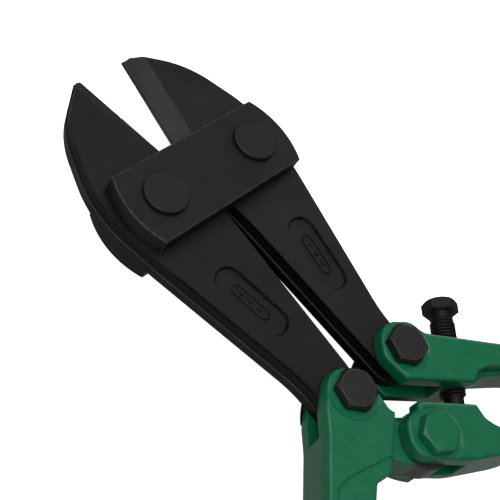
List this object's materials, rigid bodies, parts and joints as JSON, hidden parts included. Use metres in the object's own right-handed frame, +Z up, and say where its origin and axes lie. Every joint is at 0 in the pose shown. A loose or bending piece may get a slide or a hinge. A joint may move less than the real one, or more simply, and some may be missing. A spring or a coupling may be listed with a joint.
{
  "type": "bolt cutters",
  "caption": "Long-handled centre-cut bolt cutters: bevelled jaws between side plates, forged compound-lever arms, tubular handles with rubber grips, shown open.",
  "frame": {"origin": "on the centre pivot axis, at the end face of the centre bolt, in the plane that the tool lies on", "axes": "+Y from the centre pivot towards the jaw tips, +X towards the right-hand jaw and handle, +Z up from the table, square to the jaws"},
  "size_m": [0.6644, 0.4902, 0.036],
  "materials": {
    "jaw_steel": "black oxide over forged and ground alloy steel, matt",
    "black_steel": "black oxide, low sheen",
    "green_paint": "semi-gloss green paint over forging",
    "rubber": "matt black rubber"
  },
  "bodies": {
    "side_plates": {"front_plate": "black_steel", "back_plate": "black_steel", "left_jaw_pin": "black_steel", "right_jaw_pin": "black_steel", "left_jaw_pin_nut": "black_steel", "right_jaw_pin_nut": "black_steel"},
    "left_jaw": {"left_jaw": "jaw_steel"},
    "right_jaw": {"right_jaw": "jaw_steel"},
    "left_handle": {"left_arm": "green_paint", "left_tube": "green_paint", "left_tube_rivet": "green_paint", "left_grip": "rubber", "left_tail_bolt": "black_steel", "left_tail_nut": "black_steel"},
    "right_handle": {"right_arm": "green_paint", "right_tube": "green_paint", "right_tube_rivet": "green_paint", "right_grip": "rubber", "right_tail_bolt": "black_steel", "right_tail_nut": "black_steel", "centre_bolt": "green_paint", "centre_nut": "green_paint"},
    "adjusting_screw": {"adjusting_screw": "black_steel"}
  },
  "joints": [
    {"name": "left_jaw_pivot", "type": "hinge", "parent": "side_plates", "child": "left_jaw", "pos_m": [-0.02725, 0.1406, 0.018], "axis": [0, 0, 1], "range_deg": [-10.81, 0]},
    {"name": "right_jaw_pivot", "type": "hinge", "parent": "side_plates", "child": "right_jaw", "pos_m": [0.02725, 0.1406, 0.018], "axis": [0, 0, 1], "range_deg": [0, 10.81]},
    {"name": "left_handle_pivot", "type": "hinge", "parent": "left_jaw", "child": "left_handle", "pos_m": [-0.0178, 0.0341, 0.018], "axis": [0, 0, 1], "range_deg": [0, 54.8]},
    {"name": "right_handle_pivot", "type": "hinge", "parent": "right_jaw", "child": "right_handle", "pos_m": [0.0178, 0.0341, 0.018], "axis": [0, 0, 1], "range_deg": [-54.81, 0]},
    {"name": "adjusting_screw_travel", "type": "slide", "parent": "right_handle", "child": "adjusting_screw", "axis": [0.6704, 0.742, 0], "range_m": [0, 0.006]}
  ],
  "couplings": [
    {"joint": "left_jaw_pivot", "follows": "left_handle_pivot", "ratio": -0.19708},
    {"joint": "right_jaw_pivot", "follows": "left_handle_pivot", "ratio": 0.19708},
    {"joint": "right_handle_pivot", "follows": "left_handle_pivot", "ratio": -1}
  ]
}
